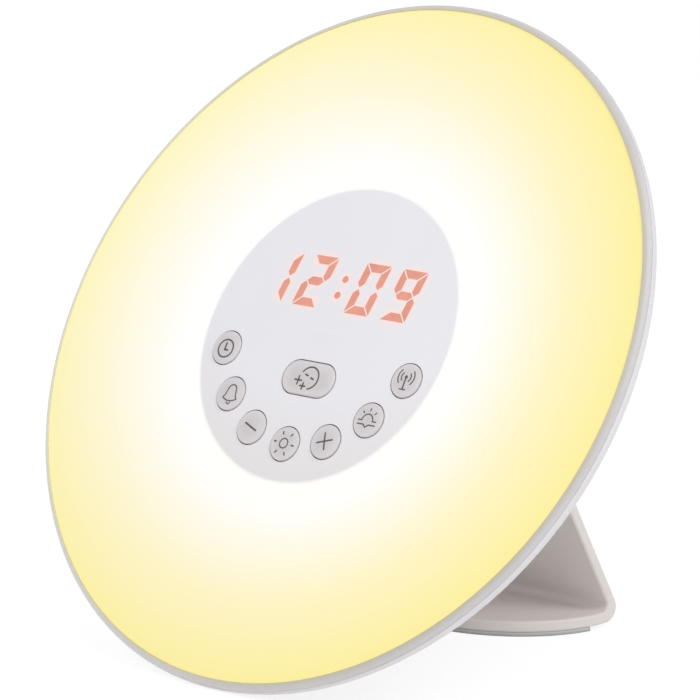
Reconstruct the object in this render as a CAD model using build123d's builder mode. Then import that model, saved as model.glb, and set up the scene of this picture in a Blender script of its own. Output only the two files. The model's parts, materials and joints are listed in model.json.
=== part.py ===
from build123d import *

import os
from math import asin, atan2, cos, degrees, hypot, radians, sin, sqrt, tan

# Sunrise alarm clock: a domed round light with a clock panel in its centre, leaning back
# on a bent-plate stand. Millimetres, +Z up, the light faces -Y. The origin is on the table,
# under the middle of the clock.

# ---------------------------------------------------------------- driving dimensions

TILT = 31.0  # lean of the face back from upright, degrees

# Rim: a rounded bead. Depths are along the face's outward normal, 0 at the lens edge.
FACE_R = 84.0  # outermost radius of the clock
BEAD_R = 3.7  # radius of the bead's rear half
LIP_BEAD_R = 2.1  # smaller radius of its front half
BEAD_DEPTH = -1.8  # depth of the widest circle
LIP_R = 82.26  # inner edge of the rim's front lip
RIM_BORE_R = 77.6  # bore of the bezel behind the lens
SEAM = -1.2  # visible parting line between bezel and rear housing
SEAM_GAP = 0.1  # groove along that line
SEAM_STEP_R = 83.1  # radius at which the bezel steps in behind the housing's thin edge
SEAM_FIT = 0.05
LANDING = -2.9  # depth at which bezel and housing meet
SKIRT_R = 79.8  # locating skirt of the bezel
SKIRT_DEPTH = -4.2

# Lens and centre panel
LENS_R = 82.2
LENS_T = 1.5
DOME_RISE = 3.4  # height of the dome's middle over the lens edge
LENS_BORE_R = 36.15
LENS_COLLAR_R = 37.3
LENS_COLLAR_DEPTH = -1.0
PANEL_R = 36.05
PANEL_BACK = 1.6  # depth of the panel's flat rear face

# Display
DISPLAY_X, DISPLAY_Y = -0.8, 11.85
DIGIT_H = 12.9
DIGIT_W = 7.65
SEGMENT_W = 2.35
SEGMENT_GAP = 0.36
DIGIT_SLANT = 8.0  # degrees
DIGIT_PITCH = 10.85
HOUR_OFFSET = 7.98  # from the display's middle to the nearest digit
COLON_R = 0.85
COLON_SHIFT = (0.25, -0.5)  # of the colon's middle from the display's middle
COLON_RISE = 2.0  # of each dot from the colon's middle
INLAY_R = 35.0  # radius of the layer that the digits are cut from
INLAY_T = 0.4
INLAY_PROUD = 0.03
TIME_SHOWN = "1209"
MODULE_SIZE = (50.3, 19.0)
MODULE_H = 8.0
MODULE_CHAMFER = 0.3
GASKET_INSET = 0.5
GASKET_RIM = 1.6

# Keys
KEY_R = 4.05
KEY_CLEARANCE = 0.25
KEY_PROUD = 0.3
KEY_CROWN = 0.2  # extra height at the middle of a key
KEY_EDGE_R = 0.3
KEY_FLANGE_R = 5.2
KEY_ARC_R = 29.0
KEY_ARC_Y = 2.05
KEY_ANGLES = {
    "clock": -71.1,
    "alarm": -46.6,
    "minus": -23.0,
    "light": 0.0,
    "plus": 23.0,
    "sunrise": 46.6,
    "radio": 71.1,
}
SNOOZE_Y = -11.1
SNOOZE_L, SNOOZE_W = 15.4, 8.1
SNOOZE_FLANGE = 1.0
SNOOZE_EDGE_R = 0.45
KEY_FLANGE_TOP = 1.5
KEY_FLANGE_BOTTOM = 0.6
KEY_STEM_R = 1.5
KEY_STEM_END = -1.6
SWITCH_BODY = 6.0
SWITCH_H = 3.5
PLUNGER_R = 1.75
PLUNGER_END = -2.35

# Boards and light box
BOARD_T = 1.6
KEYPAD_BOARD_TOP = -7.0
KEYPAD_BOARD_R = 34.2
KEYPAD_SCREW_XY = [(31.0, 0.0), (-31.0, 0.0), (0.0, -32.0)]
KEYPAD_BOSS_R = 2.6
TUBE_R = 35.9
TUBE_BORE_R = 34.4
LEDGE_R = 32.6
BOX_FLOOR = -11.5
BOX_T = 1.4
BOX_FLOOR_R = 62.0
BOX_SKIN_FLOOR_R = 62.6  # the same corner on the box's outside
BOX_TOP_R = 76.8
BOX_SKIN_TOP_R = 77.2
BOX_RIM_R = 78.9
BOX_RIM_T = 0.7
BOX_POST_R = 3.4
BOX_POST_H = 7.0
LED_RING_R = 50.0
LED_RING_W = 12.0
LED_COUNT = 24
LED_SIZE = 5.0
LED_H = 1.5

# Rear housing
BACK = -28.0  # depth of the flat back
BACK_R = 56.0  # radius where the cone would meet the flat back
BACK_FILLET = 8.0
WALL = 2.2
INNER_RIM_R = 81.7
POST_R = 2.8
POST_XY = [(x, y) for x in (-31.0, 31.0) for y in (3.0, 37.0)]
CASE_SCREW_R = 64.0  # radius of the circle of case screws
CASE_SCREW_SEAT = -14.7
CASE_POST_R = 5.0
CASE_POST_TOP = -13.1
CASE_POST_GAP = 0.1
CASE_POCKET_R = 3.4
CASE_HOLE_R = 1.8

# Main board
MAIN_BOARD_TOP = -15.0
MAIN_BOARD_SIZE = (72.0, 44.0)
MAIN_BOARD_Y = 20.0
MAIN_BOARD_CORNER_R = 2.0
CHIP_XY = (17.0, 12.0)
CHIP_SIZE, CHIP_T, CHIP_CHAMFER = 10.0, 1.4, 0.2
TUNER_XY = (-17.0, 12.0)
TUNER_SIZE, TUNER_T, TUNER_CORNER_R = (15.0, 11.0), 1.9, 1.0
CAPACITOR_XY = [(-26.0, 24.0), (-26.0, 16.0), (28.0, 22.0)]
CAPACITOR_R, CAPACITOR_H = 2.6, 6.5
RIBBON_W, RIBBON_T = 12.0, 0.6
RIBBON_START_Y, RIBBON_END_Y = 20.0, 27.0
RIBBON_LEVEL = -11.8
RIBBON_BEND_R = 1.4

# Speaker and its grille
GRILLE_Y = 38.0
GRILLE_R = 13.0
SLOT_W = 1.5
SLOT_PITCH = 3.0
SPEAKER_RING_R, SPEAKER_RING_BORE_R, SPEAKER_RING_H = 16.0, 14.6, 2.6
SPEAKER_GASKET_R, SPEAKER_GASKET_BORE_R, SPEAKER_GASKET_T = 14.3, 13.1, 0.8
BASKET_LIP_R, BASKET_LIP_T = 14.2, 0.8
BASKET_R, BASKET_TOP_R = 12.3, 8.7  # inside of the basket at its foot and at its top
BASKET_H = 3.6
BASKET_T = 0.6  # of the flat top
BASKET_SKIN = 0.3  # how much wider the sloping wall is outside
MAGNET_R, MAGNET_T, MAGNET_CHAMFER = 8.0, 3.0, 0.4
CONE_R, SURROUND_R, CAP_R = 12.2, 11.2, 4.0
CONE_T = 0.3
CONE_RISE, CAP_RISE = 2.3, 1.5
WIRE_R = 0.5
WIRE_X = 2.0
WIRE_Y = GRILLE_Y - 10.2
WIRE_FOOT = 2.9  # height of the wires' start over the speaker's seat

# Battery bay, for three AAA cells side by side
BAY_L, BAY_W = 52.0, 34.0
BAY_Y = -24.0
BAY_FLOOR = -14.6
BAY_WALL = 1.5
BAY_FLOOR_T = 1.5
CELL_PITCH = 11.0
CELL_DEPTH = -20.5
CONTACT_SIZE, CONTACT_T = 9.0, 0.5
SPRING_R, SPRING_L, SPRING_PITCH = 3.2, 4.5, 1.5
SPRING_TAPER = -8  # degrees
SPRING_WIRE_R = 0.35
DOOR_L, DOOR_W = 56.0, 38.0
DOOR_REBATE = 1.6
DOOR_T = 1.58
DOOR_CLEARANCE = 0.3
DOOR_R = 3.0
GRIP_COUNT, GRIP_PITCH, GRIP_INSET = 4, 1.8, 3.0
GRIP_L, GRIP_L_STEP, GRIP_W, GRIP_DEPTH = 16.0, 2.0, 0.9, 0.5
PEG_XY = [(-14.0, BAY_Y + 16.0), (14.0, BAY_Y + 16.0), (0.0, BAY_Y - 16.0)]
PEG_L, PEG_W, PEG_H = 6.0, 1.2, 1.6

# Power inlet and aerial gland
INLET_X, INLET_Y = 41.0, -10.0
INLET_BOARD_TOP = -17.0
INLET_BOARD_SIZE = (18.0, 13.0)
INLET_POST_REACH, INLET_POST_R = 6.2, 2.2
INLET_DISH, INLET_DISH_R, INLET_DISH_DEPTH = (13.0, 9.0), 2.0, 0.8
INLET_SHELL = (7.7, 3.9)
INLET_SHELL_T = 0.35
INLET_SHELL_CORNER_R = 0.6
INLET_SHELL_SINK = 0.9  # its mouth lies this far inside the back
INLET_FIT = 0.2
CARRIER_L = 3.4
TONGUE_SIZE, TONGUE_L = (5.4, 1.1), 4.4
GLAND_X, GLAND_Y = -41.0, -10.0
GLAND_R = 2.4
GLAND_BORE_R = 0.9
GLAND_FLANGE, GLAND_FLANGE_T, GLAND_NOSE = 1.0, 0.6, 0.9
GLAND_BARB, GLAND_BARB_T = 0.8, 0.8

# Stand: one bent plate. Y places are behind the face's centre.
PLATE_T = 2.7
STAND_W = 62.0
FLANGE_TOP_Y = 27.0
FLANGE_CORNER_R = 8.0
FLANGE_BEND_R = 3.0
STRUT_LEAN = 30.0  # from upright, towards the light, degrees
FOOT_NOSE = 32.0  # front of the foot
FOOT_SIDE = 59.2  # where the nose's curve runs into the foot's straight sides
FOOT_FLAT = 60.8  # where the foot turns up into the strut
HEEL_R = 3.4
HEEL_INNER_R = 1.5
STAND_EDGE_R = 0.6
PAD_T = 1.0
PAD_END = 55.2
PAD_INSET = 0.3
STAND_SCREW_X = 20.0
STAND_SCREW_Y = 18.0
STAND_COLUMN_R, STAND_COLUMN_H = 3.2, 7.0
STAND_HOLE_R = 1.7
COUNTERSINK_R, COUNTERSINK_DEPTH = 3.1, 1.4

# Screws
SCREW_R = 1.45  # shanks of the case and stand screws
SMALL_SCREW_R = 1.0  # shanks of the keypad's and the inlet's
BOARD_SCREW_R = 1.2
SCREW_FIT = 0.03
TIP_ROOM = 0.6  # left in a hole past the screw's tip
SMALL_HEAD_R, SMALL_HEAD_H = 1.8, 1.2
BOARD_HEAD_R, BOARD_HEAD_H = 2.2, 1.6
CASE_HEAD_R, CASE_HEAD_H = 2.8, 1.9
STAND_HEAD_R, STAND_HEAD_H = 2.9, 1.45
STAND_HEAD_SINK = 0.05
BOARD_HOLE_PLAY = 0.15  # of a shank in a board's hole
KEYPAD_SCREW_L = 4.5
INLET_SCREW_L = 6.0
BOARD_SCREW_L = 7.0
CASE_SCREW_L = 6.6
STAND_SCREW_L = 8.0  # inside the housing
CROSS_L, CROSS_W, CROSS_DEPTH = 3.3, 0.7, 1.0

OVERRUN = 1.0  # how far a cutting or bounding shape runs past what it cuts

# ---------------------------------------------------------------- the face's own frame

SIN_T = sin(radians(TILT))
COS_T = cos(radians(TILT))

# The rim's lowest point touches the table.
CENTRE_Z = (FACE_R - BEAD_R) * COS_T - BEAD_DEPTH * SIN_T + BEAD_R

# The stand's heel, behind the face's centre, and the rim's nose, in front of it.
HEEL_Y = FOOT_FLAT + HEEL_R
NOSE_Y = (FACE_R - LIP_BEAD_R) * SIN_T + BEAD_DEPTH * COS_T + LIP_BEAD_R
CENTRE_Y = (NOSE_Y - HEEL_Y) / 2

CENTRE = Vector(0, CENTRE_Y, CENTRE_Z)
OUTWARD = Vector(0, -COS_T, SIN_T)
UPWARD = Vector(0, SIN_T, COS_T)
FACE = Plane(origin=CENTRE, x_dir=(1, 0, 0), z_dir=OUTWARD)
SECTION = Plane(origin=CENTRE, x_dir=(1, 0, 0), z_dir=-UPWARD)  # radius across, depth up
FACE_AXIS = Axis(CENTRE, OUTWARD)


def face_point(x, y, depth=0.0):
    """Place in the part's frame of a point given in the face's own frame."""
    return CENTRE + Vector(1, 0, 0) * x + UPWARD * y + OUTWARD * depth


def section_at(x, y):
    """Section plane of something turned about an axis through (x, y) of the face."""
    return Plane(origin=face_point(x, y), x_dir=(1, 0, 0), z_dir=-UPWARD)


def axis_at(x, y):
    """Axis of something turned about (x, y) of the face."""
    return Axis(face_point(x, y), OUTWARD)


def side_view(y, depth):
    """(Y, Z) in the part's frame of a point of the face's middle plane."""
    point = face_point(0, y, depth)
    return (point.Y, point.Z)


DOME_R = (LENS_R**2 + DOME_RISE**2) / (2 * DOME_RISE)


def dome(radius, below=0.0):
    """Depth of the domed front at a radius, or of a surface some way below it."""
    return DOME_RISE - below - (DOME_R - sqrt(DOME_R**2 - radius**2))


def key_centre(name):
    """Place of a round key on its arc, in the face's own frame."""
    angle = radians(KEY_ANGLES[name])
    return (KEY_ARC_R * sin(angle), KEY_ARC_Y - KEY_ARC_R * cos(angle))


KEY_CENTRES = [key_centre(name) for name in KEY_ANGLES]
ALL_CENTRES = KEY_CENTRES + [(0.0, SNOOZE_Y)]

# The rim's bead: its widest circle, and a point of its front half at a depth
WIDEST = (FACE_R, BEAD_DEPTH)


def bead_front(depth):
    return (FACE_R - LIP_BEAD_R + sqrt(LIP_BEAD_R**2 - (depth - BEAD_DEPTH) ** 2), depth)


SEAM_FRONT = bead_front(SEAM + SEAM_GAP / 2)
SEAM_REAR = bead_front(SEAM - SEAM_GAP / 2)
LIP_TOP = BEAD_DEPTH + sqrt(LIP_BEAD_R**2 - (LIP_R - FACE_R + LIP_BEAD_R) ** 2)

# The cone from the bead to the flat back touches the bead where their tangents agree.
BEAD_CENTRE = (FACE_R - BEAD_R, BEAD_DEPTH)
REACH = hypot(BEAD_CENTRE[0] - BACK_R, BEAD_CENTRE[1] - BACK)
CONE_ANGLE = degrees(atan2(BEAD_CENTRE[1] - BACK, BEAD_CENTRE[0] - BACK_R))
CONE_ANGLE -= degrees(asin(BEAD_R / REACH))
CONE_NORMAL = (sin(radians(CONE_ANGLE)), -cos(radians(CONE_ANGLE)))
CONE_TOP = (
    BEAD_CENTRE[0] + BEAD_R * CONE_NORMAL[0],
    BEAD_CENTRE[1] + BEAD_R * CONE_NORMAL[1],
)
INNER_TOP = (CONE_TOP[0] - WALL * CONE_NORMAL[0], CONE_TOP[1] - WALL * CONE_NORMAL[1])
INNER_BACK = BACK + WALL
INNER_BACK_R = INNER_TOP[0] - (INNER_TOP[1] - INNER_BACK) / tan(radians(CONE_ANGLE))

CASE_SCREW_REACH = CASE_SCREW_R / sqrt(2)
CASE_SCREW_XY = [
    (x, y)
    for x in (-CASE_SCREW_REACH, CASE_SCREW_REACH)
    for y in (-CASE_SCREW_REACH, CASE_SCREW_REACH)
]


def save(part, name):
    """Label a finished piece and write its file."""
    part.label = name
    export_step(part, f"parts/{name}.step")


def board_screws_at(places, seat, shank_r, shank_l, head_r, head_h):
    """Screws that go down through a board at the given places, heads on the board."""
    with BuildPart() as screws:
        with BuildSketch(FACE.offset(seat)):
            with Locations(*places):
                Circle(head_r)
        extrude(amount=head_h)
        with BuildSketch(FACE.offset(seat)):
            with Locations(*places):
                Circle(shank_r)
        extrude(amount=-shank_l)
    return screws.part


os.makedirs("parts", exist_ok=True)

# ---------------------------------------------------------------- front bezel

with BuildPart() as front_bezel:
    with BuildSketch(SECTION):
        with BuildLine():
            RadiusArc((LIP_R, LIP_TOP), SEAM_FRONT, LIP_BEAD_R)
            Polyline(
                SEAM_FRONT,
                (SEAM_STEP_R, SEAM_FRONT[1]),
                (SEAM_STEP_R, LANDING),
                (SKIRT_R, LANDING),
                (SKIRT_R, SKIRT_DEPTH),
                (RIM_BORE_R, SKIRT_DEPTH),
                (RIM_BORE_R, -LENS_T),
                (LIP_R, -LENS_T),
                (LIP_R, LIP_TOP),
            )
        make_face()
    revolve(axis=FACE_AXIS)
save(front_bezel.part, "front_bezel")

# ---------------------------------------------------------------- diffuser and panel

with BuildPart() as diffuser:
    with BuildSketch(SECTION):
        with BuildLine():
            middle_r = (LENS_BORE_R + LENS_R) / 2
            ThreePointArc((LENS_BORE_R, dome(LENS_BORE_R)), (middle_r, dome(middle_r)), (LENS_R, 0))
            Line((LENS_R, 0), (LENS_R, -LENS_T))
            ThreePointArc(
                (LENS_R, -LENS_T),
                (middle_r, dome(middle_r, LENS_T)),
                (LENS_COLLAR_R, dome(LENS_COLLAR_R, LENS_T)),
            )
            Polyline(
                (LENS_COLLAR_R, dome(LENS_COLLAR_R, LENS_T)),
                (LENS_COLLAR_R, LENS_COLLAR_DEPTH),
                (LENS_BORE_R, LENS_COLLAR_DEPTH),
                (LENS_BORE_R, dome(LENS_BORE_R)),
            )
        make_face()
    revolve(axis=FACE_AXIS)
save(diffuser.part, "diffuser")

SEGMENTS_OF = {
    "0": "abcdef",
    "1": "bc",
    "2": "abged",
    "3": "abgcd",
    "4": "fgbc",
    "5": "afgcd",
    "6": "afgedc",
    "7": "abc",
    "8": "abcdefg",
    "9": "abcdfg",
}
LEAN_PER_RISE = tan(radians(DIGIT_SLANT))


def segment_corners(letter):
    """Corners of one segment about the middle of a digit, mitred where segments meet."""
    w, h, t = DIGIT_W / 2, DIGIT_H / 2, SEGMENT_W
    top = [(-w, h), (w, h), (w - t, h - t), (t - w, h - t)]
    side = [(w, h), (w, t / 2), (w - t / 2, 0), (w - t, t / 2), (w - t, h - t)]
    middle = [(t / 2 - w, 0), (t - w, t / 2), (w - t, t / 2)]
    middle += [(w - t / 2, 0), (w - t, -t / 2), (t - w, -t / 2)]
    shapes = {
        "a": (top, 1, 1),
        "b": (side, 1, 1),
        "c": (side, 1, -1),
        "d": (top, 1, -1),
        "e": (side, -1, -1),
        "f": (side, -1, 1),
        "g": (middle, 1, 1),
    }
    corners, flip_x, flip_y = shapes[letter]
    return [(x * flip_x + y * flip_y * LEAN_PER_RISE, y * flip_y) for x, y in corners]


DIGIT_CENTRES = [
    DISPLAY_X - HOUR_OFFSET - DIGIT_PITCH,
    DISPLAY_X - HOUR_OFFSET,
    DISPLAY_X + HOUR_OFFSET,
    DISPLAY_X + HOUR_OFFSET + DIGIT_PITCH,
]

# The thin layer at the panel's front that the digits and the colon fill
with BuildPart() as inlay_layer:
    with BuildSketch(SECTION):
        with BuildLine():
            half_r = INLAY_R / 2
            ThreePointArc(
                (0, dome(0, -INLAY_PROUD)),
                (half_r, dome(half_r, -INLAY_PROUD)),
                (INLAY_R, dome(INLAY_R, -INLAY_PROUD)),
            )
            Line((INLAY_R, dome(INLAY_R, -INLAY_PROUD)), (INLAY_R, dome(INLAY_R, INLAY_T)))
            ThreePointArc(
                (INLAY_R, dome(INLAY_R, INLAY_T)),
                (half_r, dome(half_r, INLAY_T)),
                (0, dome(0, INLAY_T)),
            )
            Line((0, dome(0, INLAY_T)), (0, dome(0, -INLAY_PROUD)))
        make_face()
    revolve(axis=FACE_AXIS)

with BuildPart() as display_digits:
    add(inlay_layer.part)
    with BuildSketch(FACE):
        for digit, centre_x in zip(TIME_SHOWN, DIGIT_CENTRES):
            for letter in SEGMENTS_OF[digit]:
                places = [(centre_x + u, DISPLAY_Y + v) for u, v in segment_corners(letter)]
                segment = Polygon(*places, align=None, mode=Mode.PRIVATE)
                offset(
                    segment, amount=-SEGMENT_GAP / 2, kind=Kind.INTERSECTION, mode=Mode.ADD
                )
    extrude(amount=DOME_RISE + OVERRUN, mode=Mode.INTERSECT)
save(display_digits.part, "display_digits")

with BuildPart() as display_colon:
    add(inlay_layer.part)
    with BuildSketch(FACE):
        colon_x = DISPLAY_X + COLON_SHIFT[0]
        colon_y = DISPLAY_Y + COLON_SHIFT[1]
        dot_lean = COLON_RISE * LEAN_PER_RISE
        with Locations(
            (colon_x + dot_lean, colon_y + COLON_RISE),
            (colon_x - dot_lean, colon_y - COLON_RISE),
        ):
            Circle(COLON_R)
    extrude(amount=DOME_RISE + OVERRUN, mode=Mode.INTERSECT)
save(display_colon.part, "display_colon")

with BuildPart() as control_panel:
    with BuildSketch(SECTION):
        with BuildLine():
            Polyline((0, dome(0)), (0, PANEL_BACK), (PANEL_R, PANEL_BACK), (PANEL_R, dome(PANEL_R)))
            ThreePointArc((PANEL_R, dome(PANEL_R)), (PANEL_R / 2, dome(PANEL_R / 2)), (0, dome(0)))
        make_face()
    revolve(axis=FACE_AXIS)
    with BuildSketch(FACE.offset(PANEL_BACK)):
        with Locations(*KEY_CENTRES):
            Circle(KEY_R + KEY_CLEARANCE)
        with Locations((0, SNOOZE_Y)):
            SlotOverall(SNOOZE_L + 2 * KEY_CLEARANCE, SNOOZE_W + 2 * KEY_CLEARANCE)
    extrude(amount=DOME_RISE, mode=Mode.SUBTRACT)
    add(display_digits.part, mode=Mode.SUBTRACT)
    add(display_colon.part, mode=Mode.SUBTRACT)
save(control_panel.part, "control_panel")

# ---------------------------------------------------------------- keys


def round_key(x, y):
    """A round key: crowned cap, retaining flange and stem."""
    cap_edge = dome(hypot(x, y)) + KEY_PROUD
    crown_r = (KEY_R**2 + KEY_CROWN**2) / (2 * KEY_CROWN)
    half_way = cap_edge + KEY_CROWN - crown_r + sqrt(crown_r**2 - KEY_R**2 / 4)
    with BuildPart() as key:
        with BuildSketch(section_at(x, y)) as key_section:
            with BuildLine():
                Polyline(
                    (0, cap_edge + KEY_CROWN),
                    (0, KEY_STEM_END),
                    (KEY_STEM_R, KEY_STEM_END),
                    (KEY_STEM_R, KEY_FLANGE_BOTTOM),
                    (KEY_FLANGE_R, KEY_FLANGE_BOTTOM),
                    (KEY_FLANGE_R, KEY_FLANGE_TOP),
                    (KEY_R, KEY_FLANGE_TOP),
                    (KEY_R, cap_edge),
                )
                ThreePointArc((KEY_R, cap_edge), (KEY_R / 2, half_way), (0, cap_edge + KEY_CROWN))
            make_face()
            rim_corner = key_section.vertices().sort_by_distance((KEY_R, cap_edge, 0))[0]
            fillet(rim_corner, radius=KEY_EDGE_R)
        revolve(axis=axis_at(x, y))
    return key.part


for key_name, (key_x, key_y) in zip(KEY_ANGLES, KEY_CENTRES):
    save(round_key(key_x, key_y), f"{key_name}_button")

with BuildPart() as snooze_button:
    snooze_top = dome(abs(SNOOZE_Y)) + KEY_PROUD
    with BuildSketch(FACE.offset(KEY_FLANGE_BOTTOM)):
        with Locations((0, SNOOZE_Y)):
            SlotOverall(SNOOZE_L + 2 * SNOOZE_FLANGE, SNOOZE_W + 2 * SNOOZE_FLANGE)
    extrude(amount=KEY_FLANGE_TOP - KEY_FLANGE_BOTTOM)
    with BuildSketch(FACE.offset(KEY_FLANGE_TOP)):
        with Locations((0, SNOOZE_Y)):
            SlotOverall(SNOOZE_L, SNOOZE_W)
    extrude(amount=snooze_top - KEY_FLANGE_TOP)
    snooze_face = snooze_button.faces().sort_by(FACE_AXIS)[-1]
    fillet(snooze_face.edges(), radius=SNOOZE_EDGE_R)
    with BuildSketch(FACE.offset(KEY_FLANGE_BOTTOM)):
        with Locations((0, SNOOZE_Y)):
            Circle(KEY_STEM_R)
    extrude(amount=KEY_STEM_END - KEY_FLANGE_BOTTOM)
save(snooze_button.part, "snooze_button")

# ---------------------------------------------------------------- display module and keypad board

with BuildPart() as keypad_board:
    with BuildSketch(FACE.offset(KEYPAD_BOARD_TOP - BOARD_T)):
        Circle(KEYPAD_BOARD_R)
        with Locations(*KEYPAD_SCREW_XY):
            Circle(SMALL_SCREW_R + BOARD_HOLE_PLAY, mode=Mode.SUBTRACT)
    extrude(amount=BOARD_T)
save(keypad_board.part, "keypad_board")

keypad_screws = board_screws_at(
    KEYPAD_SCREW_XY, KEYPAD_BOARD_TOP, SMALL_SCREW_R, KEYPAD_SCREW_L, SMALL_HEAD_R, SMALL_HEAD_H
)
save(keypad_screws, "keypad_screws")

with BuildPart() as display_module:
    with BuildSketch(FACE.offset(KEYPAD_BOARD_TOP)):
        with Locations((DISPLAY_X, DISPLAY_Y)):
            Rectangle(*MODULE_SIZE)
    extrude(amount=MODULE_H)
    chamfer(display_module.faces().sort_by(FACE_AXIS)[-1].edges(), length=MODULE_CHAMFER)
save(display_module.part, "display_module")

with BuildPart() as display_gasket:
    gasket_l = MODULE_SIZE[0] - 2 * GASKET_INSET
    gasket_w = MODULE_SIZE[1] - 2 * GASKET_INSET
    module_front = KEYPAD_BOARD_TOP + MODULE_H
    with BuildSketch(FACE.offset(module_front)):
        with Locations((DISPLAY_X, DISPLAY_Y)):
            Rectangle(gasket_l, gasket_w)
            Rectangle(gasket_l - 2 * GASKET_RIM, gasket_w - 2 * GASKET_RIM, mode=Mode.SUBTRACT)
    extrude(amount=PANEL_BACK - module_front)
save(display_gasket.part, "display_gasket")

with BuildPart() as tact_switches:
    with BuildSketch(FACE.offset(KEYPAD_BOARD_TOP)):
        with Locations(*ALL_CENTRES):
            Rectangle(SWITCH_BODY, SWITCH_BODY)
    extrude(amount=SWITCH_H)
save(tact_switches.part, "tact_switches")

with BuildPart() as switch_plungers:
    plunger_start = KEYPAD_BOARD_TOP + SWITCH_H
    with BuildSketch(FACE.offset(plunger_start)):
        with Locations(*ALL_CENTRES):
            Circle(PLUNGER_R)
    extrude(amount=PLUNGER_END - plunger_start)
save(switch_plungers.part, "switch_plungers")

# ---------------------------------------------------------------- light box

with BuildPart() as reflector:
    floor_back = BOX_FLOOR - BOX_T
    ledge_top = KEYPAD_BOARD_TOP - BOARD_T
    post_foot = CASE_POST_TOP + CASE_POST_GAP
    with BuildSketch(SECTION):
        with BuildLine():
            Polyline(
                (TUBE_BORE_R, PANEL_BACK),
                (TUBE_R, PANEL_BACK),
                (TUBE_R, BOX_FLOOR),
                (BOX_FLOOR_R, BOX_FLOOR),
                (BOX_TOP_R, SKIRT_DEPTH),
                (BOX_RIM_R, SKIRT_DEPTH),
                (BOX_RIM_R, SKIRT_DEPTH - BOX_RIM_T),
                (BOX_SKIN_TOP_R, SKIRT_DEPTH - 2 * BOX_RIM_T),
                (BOX_SKIN_FLOOR_R, floor_back),
                (LEDGE_R, floor_back),
                (LEDGE_R, ledge_top),
                (TUBE_BORE_R, ledge_top),
                close=True,
            )
        make_face()
    revolve(axis=FACE_AXIS)

    # Bosses for the keypad board, and posts that take the case screws
    with BuildSketch(FACE.offset(floor_back)):
        with Locations(*KEYPAD_SCREW_XY):
            Circle(KEYPAD_BOSS_R)
    extrude(amount=ledge_top - floor_back)
    with BuildSketch(FACE.offset(ledge_top)):
        with Locations(*KEYPAD_SCREW_XY):
            Circle(SMALL_SCREW_R + SCREW_FIT)
    extrude(amount=-(KEYPAD_SCREW_L - BOARD_T + TIP_ROOM), mode=Mode.SUBTRACT)
    with BuildSketch(FACE.offset(post_foot)):
        with Locations(*CASE_SCREW_XY):
            Circle(BOX_POST_R)
    extrude(amount=BOX_POST_H)
    with BuildSketch(FACE.offset(post_foot)):
        with Locations(*CASE_SCREW_XY):
            Circle(SCREW_R + SCREW_FIT)
    extrude(amount=CASE_SCREW_SEAT + CASE_SCREW_L + TIP_ROOM - post_foot, mode=Mode.SUBTRACT)
save(reflector.part, "reflector")

with BuildPart() as led_ring_board:
    with BuildSketch(FACE.offset(BOX_FLOOR)):
        Circle(LED_RING_R + LED_RING_W / 2)
        Circle(LED_RING_R - LED_RING_W / 2, mode=Mode.SUBTRACT)
    extrude(amount=BOARD_T)
save(led_ring_board.part, "led_ring_board")

with BuildPart() as lamp_leds:
    with BuildSketch(FACE.offset(BOX_FLOOR + BOARD_T)):
        with PolarLocations(LED_RING_R, LED_COUNT):
            Rectangle(LED_SIZE, LED_SIZE)
    extrude(amount=LED_H)
save(lamp_leds.part, "lamp_leds")

# ---------------------------------------------------------------- rear housing

BOARD_SEAT = MAIN_BOARD_TOP - BOARD_T
INLET_SEAT = INLET_BOARD_TOP - BOARD_T
STAND_SCREW_XY = [(x, STAND_SCREW_Y) for x in (-STAND_SCREW_X, 0.0, STAND_SCREW_X)]
INLET_POST_XY = [(INLET_X - INLET_POST_REACH, INLET_Y), (INLET_X + INLET_POST_REACH, INLET_Y)]
COLUMNS = (
    (POST_XY, POST_R, BOARD_SEAT),
    (STAND_SCREW_XY, STAND_COLUMN_R, INNER_BACK + STAND_COLUMN_H),
    (INLET_POST_XY, INLET_POST_R, INLET_SEAT),
    (CASE_SCREW_XY, CASE_POST_R, CASE_POST_TOP),
)

# The space inside the housing: columns, bay and speaker ring are left standing in it
with BuildPart() as housing_cavity:
    with BuildSketch(SECTION) as cavity_section:
        with BuildLine():
            Polyline(
                (0, INNER_BACK),
                (INNER_BACK_R, INNER_BACK),
                INNER_TOP,
                (INNER_RIM_R, LANDING),
                (0, LANDING),
                close=True,
            )
        make_face()
        corner = cavity_section.vertices().sort_by_distance((INNER_BACK_R, INNER_BACK, 0))[0]
        fillet(corner, radius=BACK_FILLET - WALL)
    revolve(axis=FACE_AXIS)
    for places, column_r, top in COLUMNS:
        with BuildSketch(FACE.offset(top)):
            with Locations(*places):
                Circle(column_r)
        extrude(amount=BACK - top, mode=Mode.SUBTRACT)
    with BuildSketch(FACE.offset(BAY_FLOOR + BAY_FLOOR_T)):
        with Locations((0, BAY_Y)):
            Rectangle(BAY_L + 2 * BAY_WALL, BAY_W + 2 * BAY_WALL)
    extrude(amount=BACK - BAY_FLOOR, mode=Mode.SUBTRACT)
    with BuildSketch(FACE.offset(INNER_BACK)):
        with Locations((0, GRILLE_Y)):
            Circle(SPEAKER_RING_R)
            Circle(SPEAKER_RING_BORE_R, mode=Mode.SUBTRACT)
    extrude(amount=SPEAKER_RING_H, mode=Mode.SUBTRACT)

# Screw holes of the housing: places, radius, and the depths between which each runs
PILOT_HOLES = (
    (STAND_SCREW_XY, SCREW_R + SCREW_FIT, BACK, BACK + STAND_SCREW_L + TIP_ROOM),
    (POST_XY, BOARD_SCREW_R + SCREW_FIT, BOARD_SEAT, MAIN_BOARD_TOP - BOARD_SCREW_L - TIP_ROOM),
    (
        INLET_POST_XY,
        SMALL_SCREW_R + SCREW_FIT,
        INLET_SEAT,
        INLET_BOARD_TOP - INLET_SCREW_L - TIP_ROOM,
    ),
    (CASE_SCREW_XY, CASE_POCKET_R, BACK, CASE_SCREW_SEAT),
    (CASE_SCREW_XY, CASE_HOLE_R, BACK, CASE_POST_TOP),
)

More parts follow.
